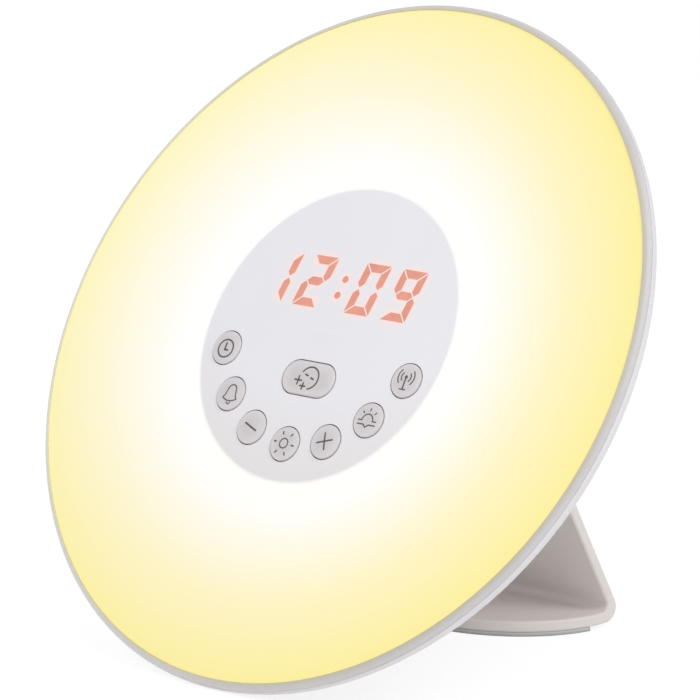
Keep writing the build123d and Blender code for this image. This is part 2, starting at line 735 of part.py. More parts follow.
with BuildPart() as rear_housing:
    with BuildSketch(SECTION) as housing_section:
        with BuildLine():
            RadiusArc(SEAM_REAR, WIDEST, LIP_BEAD_R)
            RadiusArc(WIDEST, CONE_TOP, BEAD_R)
            Polyline(
                CONE_TOP,
                (BACK_R, BACK),
                (0, BACK),
                (0, LANDING),
                (SEAM_STEP_R + SEAM_FIT, LANDING),
                (SEAM_STEP_R + SEAM_FIT, SEAM_REAR[1]),
                SEAM_REAR,
            )
        make_face()
        corner = housing_section.vertices().sort_by_distance((BACK_R, BACK, 0))[0]
        fillet(corner, radius=BACK_FILLET)
    revolve(axis=FACE_AXIS)
    add(housing_cavity.part, mode=Mode.SUBTRACT)

    # Battery bay, and the rebate that its door lies in
    with BuildSketch(FACE.offset(BACK)):
        with Locations((0, BAY_Y)):
            Rectangle(BAY_L, BAY_W)
    extrude(amount=BAY_FLOOR - BACK, mode=Mode.SUBTRACT)
    with BuildSketch(FACE.offset(BACK)):
        with Locations((0, BAY_Y)):
            RectangleRounded(DOOR_L + 2 * DOOR_CLEARANCE, DOOR_W + 2 * DOOR_CLEARANCE, DOOR_R)
    extrude(amount=DOOR_REBATE, mode=Mode.SUBTRACT)

    # Speaker grille: slots as long as the circle allows
    slot_count = int(GRILLE_R / SLOT_PITCH)
    with BuildSketch(FACE.offset(BACK)):
        for row in range(-slot_count, slot_count + 1):
            offset_y = row * SLOT_PITCH
            half_slot = sqrt(GRILLE_R**2 - offset_y**2)
            with Locations((0, GRILLE_Y + offset_y)):
                SlotOverall(2 * half_slot, SLOT_W)
    extrude(amount=WALL, mode=Mode.SUBTRACT)

    for places, hole_r, start, end in PILOT_HOLES:
        with BuildSketch(FACE.offset(start)):
            with Locations(*places):
                Circle(hole_r)
        extrude(amount=end - start, mode=Mode.SUBTRACT)

    # Power inlet, in a shallow dish, and the aerial's gland
    with BuildSketch(FACE.offset(BACK)):
        with Locations((INLET_X, INLET_Y)):
            RectangleRounded(*INLET_DISH, INLET_DISH_R)
    extrude(amount=INLET_DISH_DEPTH, mode=Mode.SUBTRACT)
    with BuildSketch(FACE.offset(BACK)):
        with Locations((INLET_X, INLET_Y)):
            Rectangle(INLET_SHELL[0] + 2 * INLET_FIT, INLET_SHELL[1] + 2 * INLET_FIT)
        with Locations((GLAND_X, GLAND_Y)):
            Circle(GLAND_R)
    extrude(amount=WALL, mode=Mode.SUBTRACT)
save(rear_housing.part, "rear_housing")

with BuildPart() as aerial_grommet:
    flange_r = GLAND_R + GLAND_FLANGE
    barb_r = GLAND_R + GLAND_BARB
    with BuildSketch(section_at(GLAND_X, GLAND_Y)):
        with BuildLine():
            Polyline(
                (GLAND_BORE_R, BACK - GLAND_NOSE),
                (flange_r, BACK - GLAND_FLANGE_T),
                (flange_r, BACK),
                (GLAND_R, BACK),
                (GLAND_R, INNER_BACK),
                (barb_r, INNER_BACK),
                (barb_r, INNER_BACK + GLAND_BARB_T),
                (GLAND_BORE_R, INNER_BACK + GLAND_BARB_T),
                close=True,
            )
        make_face()
    revolve(axis=axis_at(GLAND_X, GLAND_Y))
save(aerial_grommet.part, "aerial_grommet")

with BuildPart() as case_screws:
    with BuildSketch(FACE.offset(CASE_SCREW_SEAT)):
        with Locations(*CASE_SCREW_XY):
            Circle(CASE_HEAD_R)
    extrude(amount=-CASE_HEAD_H)
    with BuildSketch(FACE.offset(CASE_SCREW_SEAT - CASE_HEAD_H)):
        with Locations(*CASE_SCREW_XY):
            Rectangle(CROSS_L, CROSS_W)
            Rectangle(CROSS_W, CROSS_L)
    extrude(amount=CROSS_DEPTH, mode=Mode.SUBTRACT)
    with BuildSketch(FACE.offset(CASE_SCREW_SEAT)):
        with Locations(*CASE_SCREW_XY):
            Circle(SCREW_R)
    extrude(amount=CASE_SCREW_L)
save(case_screws.part, "case_screws")

# ---------------------------------------------------------------- boards in the back

with BuildPart() as main_board:
    with BuildSketch(FACE.offset(BOARD_SEAT)):
        with Locations((0, MAIN_BOARD_Y)):
            RectangleRounded(*MAIN_BOARD_SIZE, MAIN_BOARD_CORNER_R)
        with Locations(*POST_XY):
            Circle(BOARD_SCREW_R + BOARD_HOLE_PLAY, mode=Mode.SUBTRACT)
    extrude(amount=BOARD_T)
save(main_board.part, "main_board")

board_screws = board_screws_at(
    POST_XY, MAIN_BOARD_TOP, BOARD_SCREW_R, BOARD_SCREW_L, BOARD_HEAD_R, BOARD_HEAD_H
)
save(board_screws, "board_screws")

with BuildPart() as main_chip:
    with BuildSketch(FACE.offset(MAIN_BOARD_TOP)):
        with Locations(CHIP_XY):
            Rectangle(CHIP_SIZE, CHIP_SIZE)
    extrude(amount=CHIP_T)
    chamfer(main_chip.faces().sort_by(FACE_AXIS)[-1].edges(), length=CHIP_CHAMFER)
save(main_chip.part, "main_chip")

with BuildPart() as tuner_shield:
    with BuildSketch(FACE.offset(MAIN_BOARD_TOP)):
        with Locations(TUNER_XY):
            RectangleRounded(*TUNER_SIZE, TUNER_CORNER_R)
    extrude(amount=TUNER_T)
save(tuner_shield.part, "tuner_shield")

with BuildPart() as capacitors:
    with BuildSketch(FACE.offset(BOARD_SEAT)):
        with Locations(*CAPACITOR_XY):
            Circle(CAPACITOR_R)
    extrude(amount=-CAPACITOR_H)
save(capacitors.part, "capacitors")

# A flat cable from the keypad board down to the main board, in an S
with BuildPart() as ribbon_cable:
    with BuildSketch(Plane.YZ.offset(-RIBBON_W / 2)):
        with BuildLine():
            FilletPolyline(
                side_view(RIBBON_START_Y, KEYPAD_BOARD_TOP - BOARD_T - RIBBON_T / 2),
                side_view(RIBBON_START_Y, RIBBON_LEVEL),
                side_view(RIBBON_END_Y, RIBBON_LEVEL),
                side_view(RIBBON_END_Y, MAIN_BOARD_TOP + RIBBON_T / 2),
                radius=RIBBON_BEND_R,
            )
            offset(amount=RIBBON_T / 2, side=Side.BOTH)
        make_face()
    extrude(amount=RIBBON_W)
save(ribbon_cable.part, "ribbon_cable")

# ---------------------------------------------------------------- speaker

SPEAKER_SEAT = INNER_BACK + SPEAKER_GASKET_T
BASKET_TOP = SPEAKER_SEAT + BASKET_H

with BuildPart() as speaker_gasket:
    with BuildSketch(FACE.offset(INNER_BACK)):
        with Locations((0, GRILLE_Y)):
            Circle(SPEAKER_GASKET_R)
            Circle(SPEAKER_GASKET_BORE_R, mode=Mode.SUBTRACT)
    extrude(amount=SPEAKER_GASKET_T)
save(speaker_gasket.part, "speaker_gasket")

with BuildPart() as speaker_frame:
    with BuildSketch(section_at(0, GRILLE_Y)):
        with BuildLine():
            Polyline(
                (BASKET_LIP_R, SPEAKER_SEAT),
                (BASKET_LIP_R, SPEAKER_SEAT + BASKET_LIP_T),
                (BASKET_R + BASKET_SKIN, SPEAKER_SEAT + BASKET_LIP_T),
                (BASKET_TOP_R + BASKET_SKIN, BASKET_TOP),
                (0, BASKET_TOP),
                (0, BASKET_TOP - BASKET_T),
                (BASKET_TOP_R, BASKET_TOP - BASKET_T),
                (BASKET_R, SPEAKER_SEAT),
                close=True,
            )
        make_face()
    revolve(axis=axis_at(0, GRILLE_Y))
save(speaker_frame.part, "speaker_frame")

with BuildPart() as speaker_magnet:
    with BuildSketch(FACE.offset(BASKET_TOP)):
        with Locations((0, GRILLE_Y)):
            Circle(MAGNET_R)
    extrude(amount=MAGNET_T)
    chamfer(speaker_magnet.edges().filter_by(GeomType.CIRCLE), length=MAGNET_CHAMFER)
save(speaker_magnet.part, "speaker_magnet")

# The cone and its dust cap are one thin skin; its surround lies on the seat.
with BuildPart() as speaker_cone:
    with BuildSketch(section_at(0, GRILLE_Y)):
        with BuildLine():
            skin = [
                (CONE_R, SPEAKER_SEAT + CONE_T / 6),
                (SURROUND_R, SPEAKER_SEAT),
                (CAP_R, SPEAKER_SEAT + CONE_RISE),
                (0, SPEAKER_SEAT + CAP_RISE),
            ]
            underside = [(r, depth - CONE_T) for r, depth in reversed(skin[1:])]
            Polyline(*skin, *underside, (CONE_R, SPEAKER_SEAT - CONE_T / 3), close=True)
        make_face()
    revolve(axis=axis_at(0, GRILLE_Y))
save(speaker_cone.part, "speaker_cone")

with BuildPart() as speaker_wires:
    with BuildSketch(FACE.offset(SPEAKER_SEAT + WIRE_FOOT)):
        with Locations((-WIRE_X, WIRE_Y), (WIRE_X, WIRE_Y)):
            Circle(WIRE_R)
    extrude(amount=BOARD_SEAT - SPEAKER_SEAT - WIRE_FOOT)
save(speaker_wires.part, "speaker_wires")

# ---------------------------------------------------------------- battery bay

BAY_CELLS_Y = [BAY_Y + row * CELL_PITCH for row in (-1, 0, 1)]

with BuildPart() as battery_door:
    with BuildSketch(FACE.offset(BACK)):
        with Locations((0, BAY_Y)):
            RectangleRounded(DOOR_L, DOOR_W, DOOR_R - DOOR_CLEARANCE)
    extrude(amount=DOOR_T)

    # Finger grip: grooves near the door's lower edge
    with BuildSketch(FACE.offset(BACK)):
        for row in range(GRIP_COUNT):
            with Locations((0, BAY_Y - DOOR_W / 2 + GRIP_INSET + GRIP_PITCH * row)):
                SlotOverall(GRIP_L - GRIP_L_STEP * row, GRIP_W)
    extrude(amount=GRIP_DEPTH, mode=Mode.SUBTRACT)

    # Pegs inside the bay's upper and lower walls
    with BuildSketch(FACE.offset(BACK + DOOR_T)):
        with Locations(*PEG_XY):
            Rectangle(PEG_L, PEG_W)
    extrude(amount=PEG_H)
save(battery_door.part, "battery_door")

with BuildPart() as battery_contacts:
    contact_x = (BAY_L - CONTACT_T) / 2
    with BuildSketch(FACE.offset(CELL_DEPTH - CONTACT_SIZE / 2)):
        for cell_y in BAY_CELLS_Y:
            with Locations((contact_x, cell_y), (-contact_x, cell_y)):
                Rectangle(CONTACT_T, CONTACT_SIZE)
    extrude(amount=CONTACT_SIZE)
save(battery_contacts.part, "battery_contacts")

with BuildPart() as battery_springs:
    for cell_y in BAY_CELLS_Y:
        foot = face_point(-BAY_L / 2 + CONTACT_T + SPRING_WIRE_R, cell_y, CELL_DEPTH)
        with BuildLine():
            coil = Helix(
                pitch=SPRING_PITCH,
                height=SPRING_L,
                radius=SPRING_R,
                center=foot,
                direction=(1, 0, 0),
                cone_angle=SPRING_TAPER,
            )
        with BuildSketch(Plane(origin=coil @ 0, z_dir=coil % 0)):
            Circle(SPRING_WIRE_R)
        sweep(path=coil, is_frenet=True)
save(battery_springs.part, "battery_springs")

# ---------------------------------------------------------------- power inlet

SHELL_BORE = (INLET_SHELL[0] - 2 * INLET_SHELL_T, INLET_SHELL[1] - 2 * INLET_SHELL_T)
SHELL_BORE_CORNER_R = INLET_SHELL_CORNER_R / 2

with BuildPart() as usb_board:
    with BuildSketch(FACE.offset(INLET_SEAT)):
        with Locations((INLET_X, INLET_Y)):
            Rectangle(*INLET_BOARD_SIZE)
        with Locations(*INLET_POST_XY):
            Circle(SMALL_SCREW_R + BOARD_HOLE_PLAY, mode=Mode.SUBTRACT)
    extrude(amount=BOARD_T)
save(usb_board.part, "usb_board")

usb_screws = board_screws_at(
    INLET_POST_XY, INLET_BOARD_TOP, SMALL_SCREW_R, INLET_SCREW_L, SMALL_HEAD_R, SMALL_HEAD_H
)
save(usb_screws, "usb_screws")

with BuildPart() as usb_shell:
    with BuildSketch(FACE.offset(INLET_SEAT)):
        with Locations((INLET_X, INLET_Y)):
            RectangleRounded(*INLET_SHELL, INLET_SHELL_CORNER_R)
            RectangleRounded(*SHELL_BORE, SHELL_BORE_CORNER_R, mode=Mode.SUBTRACT)
    extrude(amount=BACK + INLET_SHELL_SINK - INLET_SEAT)
save(usb_shell.part, "usb_shell")

with BuildPart() as usb_tongue:
    with BuildSketch(FACE.offset(INLET_SEAT)):
        with Locations((INLET_X, INLET_Y)):
            RectangleRounded(*SHELL_BORE, SHELL_BORE_CORNER_R)
    extrude(amount=-CARRIER_L)
    with BuildSketch(FACE.offset(INLET_SEAT - CARRIER_L)):
        with Locations((INLET_X, INLET_Y)):
            Rectangle(*TONGUE_SIZE)
    extrude(amount=-TONGUE_L)
save(usb_tongue.part, "usb_tongue")

# ---------------------------------------------------------------- stand

LEAN = radians(STRUT_LEAN)
STRUT_SLOPE = tan(LEAN)  # steps back for each step down
HEEL_CORNER_Y = CENTRE_Y + FOOT_FLAT + HEEL_R / tan(radians(90 - STRUT_LEAN) / 2)
FRONT_SHIFT = PLATE_T / cos(LEAN)  # between the strut's two faces, measured level
FOOT_TOP = PAD_T + PLATE_T
NOSE_L = FOOT_SIDE - FOOT_NOSE


def on_strut(z, shift=0.0):
    """Point of the strut's rear face at a height, or of a parallel line in front of it."""
    return (HEEL_CORNER_Y - (z - PAD_T) * STRUT_SLOPE - shift, z)


def strut_meets(depth, shift=0.0):
    """Where the strut's face crosses a plane parallel to the back, as (Y, Z)."""
    start_y, start_z = on_strut(PAD_T, shift)
    plane_y, plane_z = side_view(0, depth)
    # The point moves up the strut until its distance along the outward normal is nil.
    gap = (plane_y - start_y) * -COS_T + (plane_z - start_z) * SIN_T
    climb = gap / (STRUT_SLOPE * COS_T + SIN_T)
    return (start_y - climb * STRUT_SLOPE, start_z + climb)


with BuildPart() as stand:
    heel = on_strut(PAD_T)
    inner_heel = on_strut(FOOT_TOP, FRONT_SHIFT)
    flange_inner_root = strut_meets(BACK, FRONT_SHIFT)
    flange_outer_root = strut_meets(BACK - PLATE_T)
    nose_y = CENTRE_Y + FOOT_NOSE
    with BuildSketch(Plane.YZ) as stand_profile:
        with BuildLine():
            Polyline(
                (nose_y, PAD_T),
                heel,
                flange_outer_root,
                side_view(FLANGE_TOP_Y, BACK - PLATE_T),
                side_view(FLANGE_TOP_Y, BACK),
                flange_inner_root,
                inner_heel,
                (nose_y, FOOT_TOP),
                close=True,
            )
        make_face()
        for bend, bend_r in (
            (heel, HEEL_R),
            (inner_heel, HEEL_INNER_R),
            (flange_outer_root, FLANGE_BEND_R),
            (flange_inner_root, FLANGE_BEND_R + PLATE_T),
        ):
            vertex = stand_profile.vertices().sort_by_distance((bend[0], bend[1], 0))[0]
            fillet(vertex, radius=bend_r)
    extrude(amount=STAND_W / 2, both=True)

    # The foot's rounded nose, level with the table
    with BuildSketch(Plane.XY):
        with Locations((0, nose_y + NOSE_L / 2)):
            Rectangle(STAND_W + OVERRUN, NOSE_L)
        with Locations((0, CENTRE_Y + FOOT_SIDE)):
            Ellipse(STAND_W / 2, NOSE_L, mode=Mode.SUBTRACT)
    extrude(amount=FOOT_TOP + OVERRUN, mode=Mode.SUBTRACT)

    # Rounded corners of the flange, and its countersunk screw holes
    flange_end = stand.faces().sort_by(Axis(CENTRE, UPWARD))[-1]
    fillet(
        flange_end.edges().filter_by(lambda edge: abs(edge.length - PLATE_T) < 0.1),
        radius=FLANGE_CORNER_R,
    )
    with BuildSketch(FACE.offset(BACK)):
        with Locations(*STAND_SCREW_XY):
            Circle(STAND_HOLE_R)
    extrude(amount=-PLATE_T - OVERRUN, mode=Mode.SUBTRACT)
    for screw_x, screw_y in STAND_SCREW_XY:
        with BuildSketch(section_at(screw_x, screw_y)):
            with BuildLine():
                sink_end = BACK - PLATE_T + COUNTERSINK_DEPTH
                Polyline(
                    (0, BACK - PLATE_T),
                    (COUNTERSINK_R, BACK - PLATE_T),
                    (STAND_HOLE_R, sink_end),
                    (0, sink_end),
                    close=True,
                )
            make_face()
        revolve(axis=axis_at(screw_x, screw_y), mode=Mode.SUBTRACT)

    # Softened edges along both sides; they run on round the nose, which is tangent to them
    fillet(
        stand.edges().filter_by(lambda edge: abs(abs(edge.center().X) - STAND_W / 2) < 0.01),
        radius=STAND_EDGE_R,
    )
save(stand.part, "stand")

with BuildPart() as stand_screws:
    head_top = BACK - PLATE_T + STAND_HEAD_SINK
    for screw_x, screw_y in STAND_SCREW_XY:
        with BuildSketch(section_at(screw_x, screw_y)):
            with BuildLine():
                Polyline(
                    (0, head_top),
                    (STAND_HEAD_R, head_top),
                    (SCREW_R, head_top + STAND_HEAD_H),
                    (SCREW_R, BACK + STAND_SCREW_L),
                    (0, BACK + STAND_SCREW_L),
                    close=True,
                )
            make_face()
        revolve(axis=axis_at(screw_x, screw_y))
    with BuildSketch(FACE.offset(head_top)):
        with Locations(*STAND_SCREW_XY):
            Rectangle(CROSS_L, CROSS_W)
            Rectangle(CROSS_W, CROSS_L)
    extrude(amount=CROSS_DEPTH, mode=Mode.SUBTRACT)
save(stand_screws.part, "stand_screws")

with BuildPart() as foot_pad:
    with BuildSketch(Plane.XY):
        with Locations((0, CENTRE_Y + FOOT_SIDE)):
            Ellipse(STAND_W / 2 - PAD_INSET, NOSE_L - PAD_INSET)
        with Locations((0, CENTRE_Y + PAD_END + STAND_W / 2)):
            Rectangle(STAND_W + OVERRUN, STAND_W, mode=Mode.SUBTRACT)
    extrude(amount=PAD_T)
save(foot_pad.part, "foot_pad")
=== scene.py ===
import json
import math

import bpy
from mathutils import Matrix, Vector
from mathutils.bvhtree import BVHTree


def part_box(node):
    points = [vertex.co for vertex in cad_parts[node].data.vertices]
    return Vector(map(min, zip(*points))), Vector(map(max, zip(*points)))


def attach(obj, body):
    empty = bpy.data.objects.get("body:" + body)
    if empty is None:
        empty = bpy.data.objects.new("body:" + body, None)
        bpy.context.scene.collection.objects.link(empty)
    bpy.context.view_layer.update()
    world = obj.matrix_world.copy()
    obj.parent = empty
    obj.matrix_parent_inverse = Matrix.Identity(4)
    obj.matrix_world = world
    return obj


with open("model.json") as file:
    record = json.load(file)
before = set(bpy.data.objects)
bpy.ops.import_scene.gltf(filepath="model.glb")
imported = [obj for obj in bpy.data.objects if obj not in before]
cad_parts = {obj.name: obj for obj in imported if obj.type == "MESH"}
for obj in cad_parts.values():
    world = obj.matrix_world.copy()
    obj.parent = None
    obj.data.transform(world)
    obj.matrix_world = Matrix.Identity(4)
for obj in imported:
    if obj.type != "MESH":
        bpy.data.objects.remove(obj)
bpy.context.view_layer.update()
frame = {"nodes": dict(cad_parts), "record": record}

NODES = frame["nodes"]
MM = 0.001

# ---------------------------------------------------------------- the lit face's own frame

TILT = math.radians(31.0)
LENS_R = 82.2 * MM
LENS_T = 1.5 * MM
DOME_RISE = 3.4 * MM
UP = Vector((0.0, math.sin(TILT), math.cos(TILT)))
OUT = Vector((0.0, -math.cos(TILT), math.sin(TILT)))
ACROSS = Vector((1.0, 0.0, 0.0))

lens_low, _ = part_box("diffuser")
FACE = Vector((
    0.0,
    lens_low.y + LENS_R * math.sin(TILT),
    lens_low.z + LENS_R * math.cos(TILT) + LENS_T * math.sin(TILT),
))


def on_face(x, y, depth=0.0):
    """Place of a point of the face: x across, y up the face and depth out of it."""
    return FACE + ACROSS * x + UP * y + OUT * depth


def box_of(points, lean=0.0):
    """Box on the face round some points: x, y, half width and half height.

    With a lean, x is measured from a line that leans over by that much per rise."""
    ups = [(p - FACE).dot(UP) for p in points]
    across = [(p - FACE).dot(ACROSS) - lean * up for p, up in zip(points, ups)]
    low, high, bottom, top = min(across), max(across), min(ups), max(ups)
    return (low + high) / 2, (bottom + top) / 2, (high - low) / 2, (top - bottom) / 2


def pieces_of(node):
    """The corner points of each separate solid of a node."""
    mesh = NODES[node].data
    places = [tuple(round(c * 1e6) for c in v.co) for v in mesh.vertices]
    group = {place: place for place in places}

    def head(place):
        while group[place] != place:
            place = group[place]
        return place

    for edge in mesh.edges:
        a, b = edge.vertices
        group[head(places[a])] = head(places[b])
    solids = {}
    for vertex, place in zip(mesh.vertices, places):
        solids.setdefault(head(place), []).append(vertex.co)
    return list(solids.values())


# ---------------------------------------------------------------- colours and materials


def screen(r, g, b):
    """Linear colour, with alpha, of an 8-bit screen colour."""
    out = []
    for level in (r, g, b):
        c = level / 255
        out.append(c / 12.92 if c <= 0.04045 else ((c + 0.055) / 1.055) ** 2.4)
    return (*out, 1.0)


def scaled(colour, k):
    return (colour[0] * k, colour[1] * k, colour[2] * k, 1.0)


class Maker:
    """A material and short ways to add its nodes."""

    def __init__(self, name):
        self.material = bpy.data.materials.new(name)
        self.material.use_nodes = True
        self.tree = self.material.node_tree
        self.shader = self.tree.nodes["Principled BSDF"]
        self.place = self.node("ShaderNodeTexCoord").outputs["Object"]

    def node(self, kind, **settings):
        made = self.tree.nodes.new(kind)
        for key, value in settings.items():
            setattr(made, key, value)
        return made

    def link(self, source, target):
        self.tree.links.new(source, target)

    def set(self, **values):
        for key, value in values.items():
            self.shader.inputs[key.replace("_", " ")].default_value = value

    def noise(self, size, detail=2.0, roughness=0.5, stretch=None):
        """Noise whose features are about size across, as a 0 to 1 output."""
        noise = self.node("ShaderNodeTexNoise")
        noise.inputs["Scale"].default_value = 1.0 / size
        noise.inputs["Detail"].default_value = detail
        noise.inputs["Roughness"].default_value = roughness
        source = self.place
        if stretch:
            mapping = self.node("ShaderNodeMapping")
            mapping.inputs["Scale"].default_value = stretch
            self.link(source, mapping.inputs["Vector"])
            source = mapping.outputs["Vector"]
        self.link(source, noise.inputs["Vector"])
        return noise.outputs["Fac"]

    def ramp(self, fac, stops, smooth=False):
        made = self.node("ShaderNodeValToRGB")
        made.color_ramp.interpolation = "EASE" if smooth else "LINEAR"
        elements = made.color_ramp.elements
        while len(elements) < len(stops):
            elements.new(0.5)
        for element, (position, colour) in zip(elements, stops):
            element.position = position
            element.color = colour
        self.link(fac, made.inputs["Fac"])
        return made.outputs["Color"]

    def span(self, fac, low, high, out_low, out_high):
        """fac from low..high laid onto out_low..out_high."""
        made = self.node("ShaderNodeMapRange")
        for key, value in (
            ("From Min", low),
            ("From Max", high),
            ("To Min", out_low),
            ("To Max", out_high),
        ):
            made.inputs[key].default_value = value
        self.link(fac, made.inputs["Value"])
        return made.outputs["Result"]

    def gloss(self, patches, low, high, spread=0.2):
        """Roughness from low to high, as the patches go from spread below 0.5 to spread above."""
        uneven = self.span(patches, 0.5 - spread, 0.5 + spread, low, high)
        self.link(uneven, self.shader.inputs["Roughness"])

    def bump(self, height, distance, strength=1.0):
        made = self.node("ShaderNodeBump")
        made.inputs["Strength"].default_value = strength
        made.inputs["Distance"].default_value = distance
        self.link(height, made.inputs["Height"])
        self.link(made.outputs["Normal"], self.shader.inputs["Normal"])

    def vector(self, operation, first, second=None, result="Vector"):
        made = self.node("ShaderNodeVectorMath", operation=operation)
        self.link(first, made.inputs[0])
        if second is not None:
            made.inputs[1].default_value = second
        return made.outputs[result]

    def on_plane(self, lean=0.0):
        """The place on the face's plane, as the vector (x, y, 0)."""
        away = self.vector("SUBTRACT", self.place, FACE)
        joined = self.node("ShaderNodeCombineXYZ")
        self.link(self.vector("DOT_PRODUCT", away, ACROSS - UP * lean, "Value"), joined.inputs["X"])
        self.link(self.vector("DOT_PRODUCT", away, UP, "Value"), joined.inputs["Y"])
        return joined.outputs["Vector"]

    def radius(self, x, y):
        """Distance on the face from its point (x, y), in metres."""
        return self.vector("DISTANCE", self.on_plane(), (x, y, 0.0), "Value")

    def gap(self, boxes, lean=0.0):
        """Distance on the face to the nearest of some boxes."""
        place = self.on_plane(lean)
        nearest = None
        for x, y, half_width, half_height in boxes:
            off = self.vector("ABSOLUTE", self.vector("SUBTRACT", place, (x, y, 0.0)))
            off = self.vector("SUBTRACT", off, (half_width, half_height, 0.0))
            off = self.vector("MAXIMUM", off, (0.0, 0.0, 0.0))
            distance = self.vector("LENGTH", off, result="Value")
            if nearest is not None:
                least = self.node("ShaderNodeMath", operation="MINIMUM")
                self.link(nearest, least.inputs[0])
                self.link(distance, least.inputs[1])
                distance = least.outputs["Value"]
            nearest = distance
        return nearest

    def facing(self, side, power):
        """1 towards a side of the face, given as an angle, and 0 on the opposite side."""
        heading = self.vector(
            "DOT_PRODUCT",
            self.vector("NORMALIZE", self.on_plane()),
            (math.cos(side), math.sin(side), 0.0),
            "Value",
        )
        raised = self.node("ShaderNodeMath", operation="POWER")
        self.link(self.span(heading, -1.0, 1.0, 0.0, 1.0), raised.inputs[0])
        raised.inputs[1].default_value = power
        return raised.outputs["Value"]

    def mix(self, factor, first, second, blend="MIX"):
        """Two colours laid over each other; factor is a number or an output."""
        made = self.node("ShaderNodeMix", data_type="RGBA", blend_type=blend)
        if isinstance(factor, float):
            made.inputs["Factor"].default_value = factor
        else:
            self.link(factor, made.inputs["Factor"])
        for socket, value in ((made.inputs["A"], first), (made.inputs["B"], second)):
            if isinstance(value, tuple):
                socket.default_value = value
            else:
                self.link(value, socket)
        return made.outputs["Result"]


GLOSS_PATCH = 6 * MM
STREAK = 0.8 * MM
TRACK_CELL = 3.2 * MM


def moulded(name, colour, rough, grain=0.45 * MM, depth=0.006 * MM, tint=0.025, cloud=22 * MM):
    """Satin moulded plastic: faint shade changes, uneven gloss and a fine eroded grain."""
    m = Maker(name)
    clouds = m.noise(cloud, detail=3.0)
    m.colour = m.ramp(clouds, [(0.25, scaled(colour, 1 - tint)), (0.75, scaled(colour, 1 + tint))])
    m.link(m.colour, m.shader.inputs["Base Color"])
    m.gloss(m.noise(GLOSS_PATCH, detail=4.0), rough - 0.05, rough + 0.05)
    m.bump(m.noise(grain, detail=2.0), depth)
    return m


def metal(name, colour, rough, stretch=(1.0, 1.0, 1.0), depth=0.004 * MM):
    """Plated or rolled metal with fine streaks along its grain."""
    m = Maker(name)
    streaks = m.noise(STREAK, detail=4.0, roughness=0.6, stretch=stretch)
    m.link(
        m.ramp(streaks, [(0.3, scaled(colour, 0.88)), (0.7, scaled(colour, 1.04))]),
        m.shader.inputs["Base Color"],
    )
    m.gloss(streaks, rough - 0.08, rough + 0.1, spread=0.25)
    m.set(Metallic=1.0)
    m.bump(streaks, depth)
    return m


def circuit(name, mask, copper, rough=0.35):
    """Solder mask with the tracks under it showing as paler lines."""
    m = Maker(name)
    cells = m.node("ShaderNodeTexVoronoi", feature="DISTANCE_TO_EDGE", distance="MANHATTAN")
    cells.inputs["Scale"].default_value = 1.0 / TRACK_CELL
    cells.inputs["Randomness"].default_value = 0.7
    m.link(m.place, cells.inputs["Vector"])
    track = m.ramp(cells.outputs["Distance"], [(0.05, copper), (0.1, mask)])
    m.link(track, m.shader.inputs["Base Color"])
    m.gloss(m.noise(4 * MM), rough - 0.06, rough + 0.06)
    m.bump(cells.outputs["Distance"], 0.02 * MM, strength=0.5)
    return m


WHITE = screen(255, 255, 255)
BLACK = screen(0, 0, 0)
RIM = screen(230, 229, 231)
HOUSING = screen(234, 232, 235)
STAND = screen(235, 228, 224)
PANEL = screen(233, 232, 237)
KEY = screen(219, 215, 217)
INK = screen(88, 84, 86)
LEFT = math.radians(180.0)
UPPER_LEFT = math.radians(157.0)
LIP_W = 1.8 * MM

MOULDED = {
    "housing_plastic": dict(colour=HOUSING, rough=0.42, depth=0.012 * MM),
    "stand_plastic": dict(colour=STAND, rough=0.42, depth=0.012 * MM),
    "ink": dict(colour=INK, rough=0.55, grain=0.2 * MM, cloud=2 * MM, tint=0.06),
    "reflector_white": dict(colour=screen(244, 244, 242), rough=0.35),
    "switch_body": dict(colour=screen(38, 38, 40), rough=0.45, cloud=2 * MM),
    "plunger": dict(colour=screen(210, 202, 176), rough=0.5, cloud=2 * MM),
    "module_black": dict(colour=screen(30, 30, 33), rough=0.3, cloud=8 * MM),
    "led_package": dict(colour=screen(245, 226, 138), rough=0.3, cloud=2 * MM),
    "chip_black": dict(colour=screen(34, 34, 36), rough=0.55, grain=0.2 * MM),
    "ribbon": dict(colour=screen(205, 205, 208), rough=0.4, cloud=3 * MM),
    "wire": dict(colour=screen(170, 36, 30), rough=0.4, cloud=3 * MM),
    "speaker_steel": dict(colour=screen(62, 62, 65), rough=0.45, cloud=5 * MM),
    "port_black": dict(colour=screen(28, 28, 30), rough=0.5, cloud=2 * MM),
}
COARSE = {
    "foam": dict(
        colour=screen(44, 44, 46),
        rough=0.95,
        grain=0.7 * MM,
        depth=0.15 * MM,
        tint=0.2,
        cloud=1.2 * MM,
    ),
    "cone_paper": dict(
        colour=screen(48, 47, 46),
        rough=0.85,
        grain=0.35 * MM,
        depth=0.06 * MM,
        tint=0.2,
        cloud=1.5 * MM,
    ),
    "magnet": dict(
        colour=screen(74, 74, 78),
        rough=0.6,
        grain=0.4 * MM,
        depth=0.03 * MM,
        tint=0.1,
        cloud=2 * MM,
    ),
}
METALS = {
    "screw_steel": dict(colour=screen(196, 196, 198), rough=0.34),
    "contact_nickel": dict(colour=screen(214, 211, 203), rough=0.25),
    "tin": dict(colour=screen(208, 208, 206), rough=0.36, stretch=(1.0, 6.0, 6.0)),
    "capacitor_can": dict(colour=screen(206, 210, 218), rough=0.32),
}
CIRCUITS = {
    "board": dict(mask=screen(24, 92, 58), copper=screen(58, 128, 84)),
    "lamp_board": dict(mask=screen(238, 238, 234), copper=screen(222, 222, 216)),
}

materials = {}
for maker, table in ((moulded, MOULDED), (moulded, COARSE), (metal, METALS), (circuit, CIRCUITS)):
    for name, settings in table.items():
        materials[name] = maker(name, **settings).material

